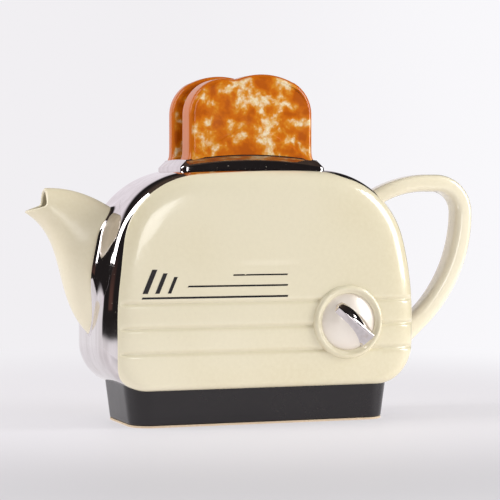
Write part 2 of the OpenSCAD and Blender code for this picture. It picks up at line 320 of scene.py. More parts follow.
BORDER_TAPER = 0.0235
BORDER_SPOUT_END = 3.4
BORDER_SHOULDER = 2.4
BORDER_LEAST = 0.35


def border_inset():
    """Inset of the edge of a cream panel along the loop: wide at the spout end."""
    x, z = outline(0.0, BOTTOM_Z)
    crown = 1.0 + BORDER_TAPER * (51 - x)
    end = BORDER_SPOUT_END * smooth((136 - z) / 50) * (x < 0)
    shoulder = BORDER_SHOULDER * smooth((x - 38) / 16) * smooth((102 - x) / 30) * (z > 100)
    corner = 1 - np.clip((BOTTOM_Z + CORNER_R - z) / CORNER_R, 0, 1) ** 2
    return np.maximum((crown + end + shoulder) * corner, BORDER_LEAST)


BORDER = border_inset()


def skin_points(inset, depth=0.0, proud=0.0):
    """The body's front surface along the loop, at an inset for each station.

    depth moves it in by part of the wall, and proud lifts it along its own normal.
    """
    y = edge_depth(inset)
    share = (EDGE_REACH - inset) / EDGE_REACH
    drawn = depth + inset * (EDGE_LAST - depth) / EDGE_LAST
    x, z = outline(drawn, underside(y) + depth)
    out = (EDGE_POWER / EDGE_REACH) * share ** (EDGE_POWER - 1)
    forward = (EDGE_POWER / HALF_DEPTH) * (y / HALF_DEPTH) ** (EDGE_POWER - 1)
    size = np.hypot(out, forward)
    nx, nz = outline_normal()
    x = x + proud * nx * out / size
    z = z + proud * nz * out / size
    y = y * (HALF_DEPTH - depth) / HALF_DEPTH + proud * forward / size
    return np.stack([x, y, z], axis=1)


def groove(z):
    """Depth share of the three grooves at a height: a little softer above than below."""
    total = 0.0
    for g in GROOVE_ZS:
        total = total + np.exp(-((z - g) / np.where(z > g, GROOVE_ABOVE, GROOVE_BELOW)) ** 2)
    return total


def front_gap(x, z, inset, floor_z):
    """Distance from a point in X and Z to the outline drawn in by inset, positive inside."""
    x = abs(x)
    if z >= WIDEST_Z:
        side = math.atan2(z - SIDE_C[1], x - SIDE_C[0])
        if side <= LEAN:
            return SIDE_R - inset - math.dist((x, z), SIDE_C)
        shoulder = math.atan2(z - SHOULDER_C[1], x - SHOULDER_C[0])
        if shoulder <= math.pi / 2 - CROWN_SLOPE:
            return SHOULDER_R - inset - math.dist((x, z), SHOULDER_C)
        return CROWN_R - inset - math.dist((x, z), CROWN_C)
    corner = (HALF_LEN - CORNER_R, floor_z + CORNER_R - inset)
    if z < corner[1] and x > corner[0]:
        return CORNER_R - inset - math.dist((x, z), corner)
    return min(z - floor_z, HALF_LEN - inset - x)


def inside_body(p):
    """Positive inside the pot body, negative outside."""
    x, y, z = p
    if abs(y) >= HALF_DEPTH:
        return HALF_DEPTH - abs(y)
    return front_gap(x, z, float(edge_inset(y)), float(underside(y)))


def crossing(path, outer, inner, sink):
    """Where a path from outside to inside meets the body, sunk a little into its wall."""
    for _ in range(40):
        middle = (outer + inner) / 2
        if inside_body(path(middle)) > sink:
            inner = middle
        else:
            outer = middle
    return (outer + inner) / 2


# ---------------------------------------------------------------- band and panels

def patch_rows(loop, lift):
    """Rows of points that fill a loop of the body's face, level from side to side."""
    loop = np.asarray(loop)
    right = loop[UP_SIDE]
    left = loop[-UP_SIDE]
    share = np.linspace(0, 1, len(ALONG_UNDERSIDE))
    top = loop[ALONG_CROWN]
    rows = [loop[ALONG_UNDERSIDE]]
    last = len(right) - 1
    for k in range(1, last):
        row = left[k] + np.outer(share, right[k] - left[k])
        arch = smooth((k - last + ARCHED_ROWS) / ARCHED_ROWS)
        row[:, 2] += arch * (top[:, 2] - top[0, 2])
        # The patch's own edge stays where it is.
        row[1:-1] = [lift(p) for p in row[1:-1]]
        rows.append(row)
    rows.append(top)
    return rows


FACE_Y = float(edge_depth(EDGE_LAST))
FACE_CROWN = 0.3
FACE_REACH = 38.0
GLAZE_PROUD = 0.22
ARCHED_ROWS = 60


def face_lift(p):
    """Gives a point of the flat face its slight crown, and its grooves."""
    within = front_gap(p[0], p[2], EDGE_LAST, underside(FACE_Y))
    share = float(np.clip(within / FACE_REACH, 0, 1))
    y = abs(p[1]) + FACE_CROWN * (1 - (1 - share) ** 2)
    return np.array([p[0], y - GROOVE_DEPTH * float(groove(p[2])), p[2]])


def turned(rows, side):
    """Sends rows drawn for the +Y side to the front or the rear."""
    return [np.asarray(row) * np.array([1, side, 1]) for row in rows]


def panel(name, side, materials):
    """A cream panel: its rounded edge, grooved face and glazed inner face."""
    solid = Solid()
    start = np.arccos(((EDGE_REACH - BORDER) / EDGE_REACH) ** (EDGE_POWER / 2))
    end = math.acos(((EDGE_REACH - EDGE_LAST) / EDGE_REACH) ** (EDGE_POWER / 2))
    outer = []
    for f in np.linspace(0, 1, 34) ** 1.15:
        turn = start + (end - start) * f
        inset = EDGE_REACH * (1 - np.cos(turn) ** (2 / EDGE_POWER))
        past = inset - BORDER
        row = skin_points(inset, proud=GLAZE_PROUD * (1 - np.exp(-np.maximum(past, 0) / 0.5)))
        dip = GROOVE_DEPTH * groove(row[:, 2]) * smooth(past / 4.5) * (row[:, 1] > HALF_DEPTH / 2)
        row[:, 1] -= dip * smooth((row[:, 2] - BOTTOM_Z - 12) / 6)
        outer.append(row)
    flat = np.array([[x, FACE_Y + GLAZE_PROUD, z] for x, _, z in outer[-1]])
    edge = flat - np.outer(GROOVE_DEPTH * groove(flat[:, 2]), (0, 1, 0))
    outer[-1] = edge
    inner = []
    for f in np.linspace(0, 1, 14):
        inset = BORDER + (EDGE_LAST - BORDER) * f ** 1.6
        inner.append(skin_points(inset, depth=WALL))
    face = patch_rows(flat, face_lift)
    face[0] = edge[ALONG_UNDERSIDE]
    face[-1] = edge[ALONG_CROWN]
    for k in range(1, len(face) - 1):
        face[k][0] = edge[-(FLAT_COUNT + k)]
        face[k][-1] = edge[FLAT_COUNT + k]
    solid.grid(turned(outer, side), closed=True)
    solid.grid(turned(face, side))
    solid.grid(turned([outer[0], inner[0]], side), closed=True)
    solid.grid(turned(inner, side), closed=True)
    solid.grid(turned(patch_rows(inner[-1], lambda p: p), side))
    return solid.make(name, materials)


def band(materials):
    """The lustre band that wraps over the pot between the two panels."""
    solid = Solid()
    reach = edge_depth(BORDER)
    outer = []
    inner = []
    for f in np.linspace(-1, 1, 85):
        y = reach * f
        x, z = outline(edge_inset(y), underside(y))
        outer.append(np.stack([x, y, z], axis=1))
    for f in np.linspace(-1, 1, 31):
        y = reach * f
        inset = edge_inset(y)
        drawn = WALL + inset * (EDGE_LAST - WALL) / EDGE_LAST
        x, z = outline(drawn, underside(y) + WALL)
        inner.append(np.stack([x, y * (HALF_DEPTH - WALL) / HALF_DEPTH, z], axis=1))
    solid.grid(outer, closed=True)
    solid.grid(inner, closed=True, look=1)
    for end in (0, -1):
        solid.grid([outer[end], inner[end]], closed=True, look=1)
    piece = solid.make("lustre_band", materials)
    return cut(piece, [seat_cutter(materials), mouth_cutter(materials), well_cutter(materials),
                       *strainer_cutters(materials)])


def rounded_plan(half_x, half_y, radius, centre_x=0.0, spacing=2.5, bend=10):
    """A rounded rectangle in plan, anticlockwise, as (x, y) points."""
    points = []
    corners = [(1, 1, 0), (-1, 1, 90), (-1, -1, 180), (1, -1, 270)]
    for side_x, side_y, start in corners:
        cx = side_x * (half_x - radius)
        cy = side_y * (half_y - radius)
        for k in range(bend + 1):
            a = math.radians(start + 90 * k / bend)
            points.append((cx + radius * math.cos(a), cy + radius * math.sin(a)))
    closed = points + points[:1]
    dense = []
    for (x0, y0), (x1, y1) in zip(closed, closed[1:]):
        steps = max(1, round(math.hypot(x1 - x0, y1 - y0) / spacing))
        dense += [(x0 + (x1 - x0) * s / steps, y0 + (y1 - y0) * s / steps) for s in range(steps)]
    return [(centre_x + x, y) for x, y in dense]


def prism(name, plan, low, high, materials, look=0):
    """A closed cutter between two surfaces, given as heights or as functions of x."""
    solid = Solid()
    lifts = []
    for surface in (low, high):
        height = surface if callable(surface) else (lambda x, h=surface: h)
        lifts.append(lambda p, h=height: np.array([p[0], p[1], h(p[0])]))
    rows = [[lift(p) for p in plan] for lift in lifts]
    solid.grid(rows, closed=True, look=look)
    for row, lift in zip(rows, lifts):
        solid.cap(row, 24, lift=lift, look=look)
    return solid.make(name, materials)


def rod(name, rings, materials, look=0):
    """A closed round cutter between two rings."""
    solid = Solid()
    solid.grid(rings, closed=True, look=look)
    for ring in rings:
        solid.cap(ring, 2, look=look)
    return solid.make(name, materials)


def seat_height(x):
    """Height of the arched ledge that the lid sits on."""
    return CROWN_C[1] + math.sqrt((CROWN_R - SEAT_DEPTH) ** 2 - x ** 2)


FLANGE_HALF = (FLANGE_HIGH - FLANGE_LOW) / 2
MOUTH_GAP = 1.0
MOUTH_HALF = FLANGE_HALF[:2] + MOUTH_GAP
MOUTH_R = 7.0
OVERSHOOT = 5.0


def seat_cutter(materials):
    """The recess round the mouth that the lid's plate drops into."""
    plan = rounded_plan(*(LID_HALF[:2] + SEAT_GAP), LID_EDGE_R + SEAT_GAP, LID_X)
    return prism("seat_cutter", plan, seat_height, LID_TOP, materials)


def mouth_cutter(materials):
    """The open mouth under the lid."""
    plan = rounded_plan(*MOUTH_HALF, MOUTH_R, LID_X)
    return prism("mouth_cutter", plan, BOTTOM_Z + CORNER_R, LID_TOP, materials, look=1)


def well_cutter(materials):
    """Opens the body's underside into the well in the base."""
    plan = rounded_plan(*WELL_HALF, WELL_R)
    return prism("well_cutter", plan, BOTTOM_Z - OVERSHOOT, BOTTOM_Z + 3 * WALL, materials, look=1)


STRAINER_R = 2.5
# Height of each row of holes, and how many it has.
STRAINER_ROWS = [(74, 1), (84, 2), (94, 1), (104, 2)]


def strainer_cutters(materials):
    """Pins that leave the strainer holes in the end wall behind the spout."""
    pins = []
    ends = [-HALF_LEN - OVERSHOOT, -HALF_LEN + CORNER_R / 2]
    for z, count in STRAINER_ROWS:
        for k in range(count):
            y = (k - (count - 1) / 2) * 4 * STRAINER_R
            rings = [[(x, *p) for p in circle(y, z, STRAINER_R, 20)] for x in ends]
            pins.append(rod("strainer_pin", rings, materials, look=1))
    return pins


# ---------------------------------------------------------------- base and foot

BASE_BOTTOM = BASE_LOW[2]
BASE_TOP_HALF = (BASE_HIGH - BASE_LOW) / 2
BASE_R = 13.0
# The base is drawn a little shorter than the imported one, at each end.
BASE_TRIM = 2.2
BASE_EDGE_R = 1.1
FOOT_EDGE_R = 0.35
FOOT_HALF = (FOOT_HIGH - FOOT_LOW) / 2 - np.array([BASE_TRIM, 0, 0])
BASE_DRAFT = BASE_TOP_HALF[1] - FOOT_HALF[1]
WELL_HALF = (FOOT_HALF[0] - WALL - 1, FOOT_HALF[1] - WALL - 1)
WELL_R = BASE_R - WALL
FLOOR_Z = BASE_BOTTOM + 4.5
SINK = 0.6


def base_plan(z, inset=0.0):
    """The base's outline at a height: it widens evenly from the foot to the body."""
    grow = BASE_DRAFT * (z - BASE_BOTTOM) / (BOTTOM_Z - BASE_BOTTOM) - inset
    return rounded_plan(FOOT_HALF[0] + grow, FOOT_HALF[1] + grow, BASE_R + grow, bend=22)


def base_meets_body(x, y):
    """Height at which the base's wall reaches the underside of the body."""
    return crossing(lambda z: (x, y, z), BOTTOM_Z - 2, BOTTOM_Z + 30, SINK)


def base(materials):
    """Black glazed base, round at its lower edge, with the lower part of the well in it."""
    solid = Solid()
    rows = []
    for a in np.radians(np.linspace(0, 90, 6)):
        z = BASE_BOTTOM + BASE_EDGE_R * (1 - math.cos(a))
        rows.append([(x, y, z) for x, y in base_plan(z, BASE_EDGE_R * (1 - math.sin(a)))])
    tops = [base_meets_body(x, y) for x, y in base_plan(BOTTOM_Z)]
    low = BASE_BOTTOM + BASE_EDGE_R
    for f in np.linspace(0, 1, 13)[1:]:
        row = []
        for k, top in enumerate(tops):
            z = low + (top - low) * f
            row.append((*base_plan(z)[k], z))
        rows.append(row)
    solid.grid(rows, closed=True)
    solid.cap(rows[0], 3)
    well_low = [(x, y, FLOOR_Z) for x, y in rounded_plan(*WELL_HALF, WELL_R, bend=22)]
    well_high = [(x, y, BOTTOM_Z + SINK) for x, y, _ in well_low]
    solid.grid([well_low, well_high], closed=True, look=1)
    solid.cap(well_low, 3, look=1)
    ring_out = np.array(rows[-1])
    ring_in = nearest_loop(ring_out, np.array(well_high))
    solid.grid([ring_out, ring_in], closed=True)
    return solid.make("black_base", materials)


def nearest_loop(outer, inner):
    """For each outer point, the point of the inner loop in the same direction."""
    directions = np.arctan2(inner[:, 1], inner[:, 0])
    order = np.argsort(directions)
    ring = directions[order]
    picked = []
    for p in outer:
        k = np.argmin(np.abs(np.angle(np.exp(1j * (ring - math.atan2(p[1], p[0]))))))
        picked.append(inner[order[k]])
    return np.array(picked)


def foot(materials):
    """The unglazed rim that the pot stands on."""
    solid = Solid()
    rows = []
    for a in np.radians((0, 30, 60, 90)):
        z = FOOT_EDGE_R * (1 - math.cos(a))
        plan = base_plan(BASE_BOTTOM, FOOT_EDGE_R * (1 - math.sin(a)))
        rows.append([(x, y, z) for x, y in plan])
    rows.append([(x, y, FOOT_HIGH[2]) for x, y in base_plan(BASE_BOTTOM)])
    solid.grid(rows, closed=True)
    solid.cap(rows[0], 6)
    solid.cap(rows[-1], 3)
    return solid.make("clay_foot", materials)


# ---------------------------------------------------------------- spout

SPOUT_TOP = np.array([[-76, 123], [-96, 137], [-112, 143], [-134, 140]], float)
SPOUT_BELLY = np.array([[-91, 47], [-125, 70], [-108, 108], [-137.3, 126.1]], float)
SPOUT_ROOT_W = 12.5
SPOUT_MOUTH_W = 8.8
SPOUT_WALL = 2.6
SPOUT_FLARE = 4.5
SPOUT_FLARE_REACH = 5.0
LIP_START = 0.8
MOUTH_X = -125.4
LIP_Z = 130.0
LIP_FALL = 3.5 / 12.1
LIP_ROUND = 0.9
# A share of the way along the spout that is well clear of the body.
SPOUT_CLEAR = 0.75


def bezier(p, t):
    """The point at a share t along a cubic curve."""
    u = 1 - t
    return u ** 3 * p[0] + 3 * u * u * t * p[1] + 3 * u * t * t * p[2] + t ** 3 * p[3]


def spout_point(t, a, inset):
    """A point of the spout, whose sides flare where they near the body."""
    p = plain_spout_point(t, a, inset)
    off_body = max(-inside_body(p), 0)
    p[1] += math.sin(a) * SPOUT_FLARE * math.exp(-off_body / SPOUT_FLARE_REACH)
    return p


def plain_spout_point(t, a, inset):
    """A point of the spout: t runs out along it, and a turns round it from the top."""
    top = bezier(SPOUT_TOP, t)
    belly = bezier(SPOUT_BELLY, t)
    rise = top - belly
    half = np.linalg.norm(rise) / 2
    narrow = 1.0
    if t > LIP_START:
        narrow = math.sqrt(1 - 0.8 * ((t - LIP_START) / (1 - LIP_START)) ** 2)
    wide = (SPOUT_ROOT_W + (SPOUT_MOUTH_W - SPOUT_ROOT_W) * t) * narrow - inset
    middle = (top + belly) / 2 + rise / (2 * half) * (half - inset) * math.cos(a)
    return np.array([middle[0], wide * math.sin(a), middle[1]])


def past_mouth(p):
    """Positive where the mouth is cut open, with a rounded notch above the lip."""
    before = MOUTH_X - p[0]
    above = p[2] - (LIP_Z + (p[0] - MOUTH_X) * LIP_FALL)
    notch = 2.2
    blend = max(notch - abs(before - above), 0) / notch
    return min(before, above) - blend ** 2 * notch / 4


def spout_end(a, inset):
    """How far along the spout a line at angle a runs before the mouth cuts it."""
    low, high = 0.5, 1.0
    if past_mouth(spout_point(high, a, inset)) <= 0:
        return high
    for _ in range(40):
        middle = (low + high) / 2
        if past_mouth(spout_point(middle, a, inset)) > 0:
            high = middle
        else:
            low = middle
    return low


def spout(materials):
    """Hollow spout, sunk a little into the wall at its root, with a rounded rim."""
    solid = Solid()
    rows_along = np.linspace(0, 1, 56)
    skins = []
    for inset in (0.0, SPOUT_WALL):
        lines = []
        for a in full_turn(72):
            sink = SINK + inset / 4
            start = crossing(lambda t: spout_point(t, a, inset), SPOUT_CLEAR, 0.0, sink)
            end = spout_end(a, inset)
            lines.append([spout_point(start + (end - start) * f, a, inset) for f in rows_along])
        skins.append(np.array(lines).transpose(1, 0, 2))
    outer, inner = skins
    rim = []
    for s in np.linspace(0, 1, 7):
        across = outer[-1] + (inner[-1] - outer[-1]) * s
        along = outer[-1] - outer[-3]
        along /= np.linalg.norm(along, axis=1)[:, None]
        rim.append(across + along * LIP_ROUND * math.sin(math.pi * s))
    for sheet in (outer, rim, inner, [outer[0], inner[0]]):
        solid.grid(sheet, closed=True)
    return solid.make("spout_shell", materials, sharp=70)


def outward(p):
    """Unit normal of the body's surface near a point."""
    step = 0.05
    slope = [inside_body(p + step * axis) - inside_body(p - step * axis) for axis in np.eye(3)]
    return -np.array(slope) / np.linalg.norm(slope)


def settle(p, proud):
    """Moves a point along the body's normal until it stands proud of the surface."""
    for _ in range(4):
        p = p + outward(p) * (inside_body(p) + proud)
    return p


COLLAR_REACH = 17.0
COLLAR_RISE = 3.5
COLLAR_LIP = 1.3
COLLAR_PROUD = 0.04


def spout_collar(materials):
    """Lustred swelling of the end wall, hollowed where it meets the spout's root."""
    solid = Solid()
    rows = []
    for a in full_turn(96):
        start = crossing(lambda t: spout_point(t, a, 0.0), SPOUT_CLEAR, 0.0, 0.0)
        root = spout_point(start, a, 0.0)
        # Slight under the root, full beside it, and slighter again over its top.
        fade = 0.1 + 0.9 * float(smooth((root[2] - 60) / 34))
        fade *= 1 - 0.6 * float(smooth((root[2] - 110) / 18))
        middle = (spout_point(start, 0, 0.0) + spout_point(start, math.pi, 0.0)) / 2
        normal = outward(root)
        away = root - middle
        away -= normal * (away @ normal)
        away /= np.linalg.norm(away)
        row = []
        for share in (*np.linspace(0, 0.16, 8, endpoint=False), *np.linspace(0.16, 1, 16)):
            reach = COLLAR_REACH * fade * share
            rise = COLLAR_RISE * (1 - share) ** 2 + COLLAR_LIP * math.exp(-reach / 0.9)
            p = settle(root + away * (reach - 0.2 * (share == 0)), COLLAR_PROUD)
            row.append(p + outward(p) * rise * fade)
        row.append(settle(root + away * COLLAR_REACH * fade, -1.0))
        row.append(root - normal * 1.5 - away * 1.0)
        rows.append(row + row[:1])
    solid.grid(rows + rows[:1])
    return solid.make("spout_collar_lustre", materials, sharp=60)


# ---------------------------------------------------------------- handle

# Arcs of the handle's middle line in X and Z: centre, radius, first and last angle.
HANDLE_ARCS = [
    ((119.0, 75.3), 68.5, 128.0, 90.0),
    ((125.5, 125.3), 18.5, 90.0, 0.0),
    ((54.2, 125.3), 89.8, 0.0, -62.0),
]
HANDLE_W = 17.0
HANDLE_TOP_T = 10.0
HANDLE_BACK_T = 12.0
HANDLE_UPPER_FLARE = 14
HANDLE_LOWER_FLARE = 22
# Power of the section's curve: 1 is round, and 0 is square.
HANDLE_SQUARE = 0.62


def handle_line():
    """Lengths along the handle at which each arc ends."""
    ends = [0.0]
    for _, radius, first, last in HANDLE_ARCS:
        ends.append(ends[-1] + radius * math.radians(abs(last - first)))
    return ends


HANDLE_ENDS = handle_line()


def handle_point(s, a):
    """A point of the handle: s runs from its upper root, and a turns round its section."""
    k = 0
    while k < len(HANDLE_ARCS) - 1 and s > HANDLE_ENDS[k + 1]:
        k += 1
    (cx, cz), radius, first, last = HANDLE_ARCS[k]
    share = (s - HANDLE_ENDS[k]) / (HANDLE_ENDS[k + 1] - HANDLE_ENDS[k])
    turn = math.radians(first + (last - first) * share)
    whole = HANDLE_ENDS[-1]
    thick = HANDLE_TOP_T + (HANDLE_BACK_T - HANDLE_TOP_T) * smooth(1.6 * s / whole)
    upper = 1 - smooth(s / HANDLE_UPPER_FLARE)
    lower = smooth((s - whole + HANDLE_LOWER_FLARE) / HANDLE_LOWER_FLARE)
    thick += 2.0 * upper + 3.0 * lower
    wide = HANDLE_W + 1.5 * upper + 1.5 * lower
    out = thick / 2 * math.copysign(abs(math.cos(a)) ** HANDLE_SQUARE, math.cos(a))
    across = wide / 2 * math.copysign(abs(math.sin(a)) ** HANDLE_SQUARE, math.sin(a))
    reach = radius + out
    return np.array([cx + reach * math.cos(turn), across, cz + reach * math.sin(turn)])


def handle(materials):
    """Strap handle, sunk a little into the body at both ends."""
    solid = Solid()
    whole = HANDLE_ENDS[-1]
    columns = []
    for a in full_turn(56):
        start = crossing(lambda s: handle_point(s, a), whole * 0.3, 0.0, SINK)
        end = crossing(lambda s: handle_point(s, a), whole * 0.7, whole, SINK)
        columns.append([handle_point(start + (end - start) * f, a) for f in np.linspace(0, 1, 110)])
    rows = np.array(columns).transpose(1, 0, 2)
    solid.grid(rows, closed=True)
    solid.cap(rows[0], 2)
    solid.cap(rows[-1], 2)
    return solid.make("handle_strap", materials, sharp=70)


# ---------------------------------------------------------------- dial

def on_dial(radius, angle, height):
    """A point in the dial's own frame: angle from +X, height out from the panel."""
    return np.array([
        DIAL_X + radius * math.cos(angle),
        -HALF_DEPTH - height,
        DIAL_Z + radius * math.sin(angle),
    ])


def revolve(name, profile, materials, capped=False):
    """A ring or dome: the profile's (radius, height) points turned about the dial's axis."""
    solid = Solid()
    rows = [[on_dial(r, a, h) for a in full_turn(120)] for r, h in profile]
    solid.grid(rows, closed=True)
    if capped:
        solid.cap(rows[0], 2)
        solid.cap(rows[-1], 2)
    return solid.make(name, materials, sharp=60)


KNOB_RISE = -HALF_DEPTH - KNOB_LOW[1]
DIAL_SINK = 0.6
# The ring's section: radius, and height out from the panel.
BEZEL_SECTION = [
    (22.3, 0.35), (22.1, 0.9), (21.8, 1.6), (21.4, 2.2), (20.9, 2.7), (20.3, 2.95),
    (19.7, 2.9), (19.1, 2.5), (18.6, 2.0), (18.1, 1.6), (17.6, 1.35), (17.2, 1.3),
    (16.8, -DIAL_SINK), (22.3, -DIAL_SINK), (22.3, 0.35),
]


def bezel(materials):
    """Raised ring: steep outside, crested, and dished towards the dome."""
    return revolve("dial_ring", BEZEL_SECTION, materials)


def dome_height(r):
    """How far the dome stands out from the panel at a distance from its middle."""
    sphere_r = (KNOB_R ** 2 + KNOB_RISE ** 2) / (2 * KNOB_RISE)
    return math.sqrt(max(sphere_r ** 2 - r ** 2, 0)) - sphere_r + KNOB_RISE


def knob(materials):
    """Low dome inside the ring."""
    radii = KNOB_R * np.sin(np.linspace(0.02, math.pi / 2, 26))
    profile = [*((r, dome_height(r)) for r in radii), (KNOB_R, -DIAL_SINK)]
    return revolve("dial_dome", profile, materials, capped=True)


POINTER_RISE = -HALF_DEPTH - POINTER_LOW[1]
# The pointer from its narrow end to its broad one, in millimetres from the dial's middle:
# lower edge, ridge, the ridge's height out from the panel, and upper edge.
POINTER_STATIONS = [
    (-10.2, 7.0, -8.4, 10.2, 6.0, -5.6, 12.8),
    (-8.0, 3.8, -5.2, 6.8, 8.2, -1.0, 10.6),
    (-1.4, -1.6, 1.2, 0.2, 10.4, 4.6, 4.8),
    (3.6, -8.4, 7.2, -3.6, 11.4, 11.0, 0.2),
    (8.0, -16.8, 13.0, -8.0, 12.0, 15.0, -6.2),
]


def pointer_section(f):
    """Points across the pointer at a share f of its length."""
    knots = np.linspace(0, 1, len(POINTER_STATIONS))
    fit = np.polyfit(knots, np.array(POINTER_STATIONS), 3)
    lx, lz, rx, rz, height, ux, uz = (np.polyval(c, f) for c in fit.T)
    ridge = np.array([rx, rz, min(height, POINTER_RISE)])
    shrink = math.sqrt(max(1 - (1 - min(f / 0.13, 1)) ** 2, 0.02))
    edges_of = []
    for x, z in ((lx, lz), (ux, uz)):
        x = rx + (x - rx) * shrink
        z = rz + (z - rz) * shrink
        edges_of.append(np.array([x, z, dome_height(min(math.hypot(x, z), KNOB_R)) - 0.3]))
    ridge[2] = edges_of[0][2] + (ridge[2] - edges_of[0][2]) * (0.35 + 0.65 * shrink)
    low, high = edges_of
    a = ridge + (low - ridge) * 0.2
    b = ridge + (high - ridge) * 0.3
    points = []
    for t in np.linspace(0, 1, 12, endpoint=False):
        hollow = -0.5 * math.sin(math.pi * t) * f
        points.append(low + (a - low) * t + np.array([0, 0, hollow]))
    for t in np.linspace(0, 1, 10, endpoint=False):
        points.append((1 - t) ** 2 * a + 2 * t * (1 - t) * ridge + t * t * b)
    for t in np.linspace(0, 1, 10):
        bulge = 0.25 * math.sin(math.pi * t)
        points.append(b + (high - b) * t + np.array([0, 0, bulge]))
    return points


def pointer(materials):
    """Fin that widens and rises towards the lower right, with one broad and one steep side."""
    solid = Solid()
    rows = []
    for f in np.linspace(0, 1, 60):
        rows.append([(DIAL_X + x, -HALF_DEPTH - h, DIAL_Z + z) for x, z, h in pointer_section(f)])
    solid.grid(rows)
    solid.grid([[row[0], row[-1]] for row in rows])
    solid.end_cap(rows[0])
    solid.end_cap(rows[-1])
    return solid.make("dial_pointer_fin", materials, sharp=50)


# ---------------------------------------------------------------- lid

def lid_height(x, y):
    """Height of the lid's arched top."""
    run = (x - LID_X) / (LID_HALF[0] - LID_EDGE_R)
    cross = y / (LID_HALF[1] - LID_EDGE_R)
    return LID_TOP - LID_ARCH * run ** 2 - LID_CROSSFALL * cross ** 2


# Longer than any side, so that a side is left in one length.
UNDIVIDED = 200
SIDE_STEPS = 24
LONG_SIDE = 4


def lid_plan(inset):
    """The plate's outline drawn in by inset."""
    half_x, half_y = LID_HALF[:2] - inset
    return rounded_plan(half_x, half_y, max(LID_EDGE_R - inset, 0.2), LID_X, spacing=UNDIVIDED)


def dense_loop(points):
    """The same closed loop with its long sides divided."""
    out = []
    for p, q in zip(points, [*points[1:], points[0]]):
        steps = 1 if math.dist(p, q) < LONG_SIDE else SIDE_STEPS
        out += [(p[0] + (q[0] - p[0]) * s / steps, p[1] + (q[1] - p[1]) * s / steps)
                for s in range(steps)]
    return out


# The lid's edge from its wall to its top: how far in, and how far below the top.
LID_BEVEL = [
    (0.0, 4.2), (0.04, 3.9), (0.14, 3.65), (0.32, 3.4), (0.56, 3.16), (0.9, 2.88), (1.6, 2.3),
    (2.3, 1.72), (3.0, 1.14), (3.5, 0.74), (3.75, 0.5), (3.88, 0.26), (3.92, 0.0),
]


def lid(materials):
    """Arched plate with round edges and a vent."""
    solid = Solid()
    rows = [[(x, y, seat_height(x)) for x, y in dense_loop(lid_plan(0))]]
    for inset, drop in LID_BEVEL:
        ring = dense_loop(lid_plan(inset))
        rows.append([(x, y, lid_height(x, y) - drop) for x, y in ring])
    solid.grid(rows, closed=True)
    solid.cap(rows[-1], 16, lift=lambda p: np.array([p[0], p[1], lid_height(p[0], p[1])]))
    solid.cap(rows[0], 16, lift=lambda p: np.array([p[0], p[1], seat_height(p[0])]), look=1)
    piece = solid.make("lid_plate_lustre", materials)
    return cut(piece, [vent_cutter(materials)])


VENT_R = 1.5


def vent_cutter(materials):
    """Pin for the steam vent between the slices."""
    rings = [[(x, y, z) for x, y in circle(LID_X, 0, VENT_R, 24)]
             for z in (LID_LOW[2] - OVERSHOOT, LID_TOP + OVERSHOOT)]
    return rod("vent_pin", rings, materials)


FLANGE_THICK = 4.0
FLANGE_R = 6.0
FLANGE_OVERLAP = 0.3
# The collar's section, down its outer face and up its inner one: how far in, and how far up.
FLANGE_SECTION = [
    (0.0, 1.0), (0.0, 0.25), (0.35, 0.08), (1.1, 0.0), (FLANGE_THICK - 1.1, 0.0),
    (FLANGE_THICK - 0.35, 0.08), (FLANGE_THICK, 0.25), (FLANGE_THICK, 1.0), (0.0, 1.0),
]


def flange(materials):
    """Glazed collar under the lid that keeps it in the mouth of the pot."""
    solid = Solid()
    low = FLANGE_LOW[2]
    rows = []
    for inset, share in FLANGE_SECTION:
        half_x, half_y = FLANGE_HALF[:2] - inset
        plan = rounded_plan(half_x, half_y, FLANGE_R - inset, LID_X, spacing=UNDIVIDED)
        rows.append([(x, y, low + (seat_height(x) + FLANGE_OVERLAP - low) * share)
                     for x, y in dense_loop(plan)])
    solid.grid(rows, closed=True)
    return solid.make("lid_collar", materials)


# ---------------------------------------------------------------- toast

FRONT_LOW, FRONT_HIGH = node_box("toast_front")
TOAST_HALF = (FRONT_HIGH[0] - FRONT_LOW[0]) / 2
TOAST_TOP = FRONT_HIGH[2]
TOAST_FOOT = LID_TOP - 5.5
CROWN_LOBE = (7.5, TOAST_TOP - 42, 42.0)
RIGHT_LOBE = (TOAST_HALF - 22.5, TOAST_TOP - 24, 22.0)
LEFT_LOBE = (-TOAST_HALF + 22, TOAST_TOP - 25, 22.0)
DIP_R = 16.0
FOOT_FLARE = 0.9
FOOT_FLARE_REACH = 1.6
# Tone 0 is a slice's pale middle, this is where its face turns into crust, and 1 is crust.
FACE_TONE = 0.45
FACE_SINK = 0.5
FACE_RIPPLE = 0.12


def resting_circle(a, b, r):
    """Centre of a circle of radius r that rests on top of circles a and b."""
    across = np.array([b[0] - a[0], b[1] - a[1]])
    d = np.linalg.norm(across)
    ra = a[2] + r
    rb = b[2] + r
    run = (d * d + ra * ra - rb * rb) / (2 * d)
    off = math.sqrt(ra * ra - run * run)
    unit = across / d
    return np.array(a[:2]) + unit * run + off * np.array([-unit[1], unit[0]])


DIP_C = resting_circle(LEFT_LOBE, CROWN_LOBE, DIP_R)


def bearing(a, b):
    """Direction from a to b, in degrees."""
    return math.degrees(math.atan2(b[1] - a[1], b[0] - a[0]))


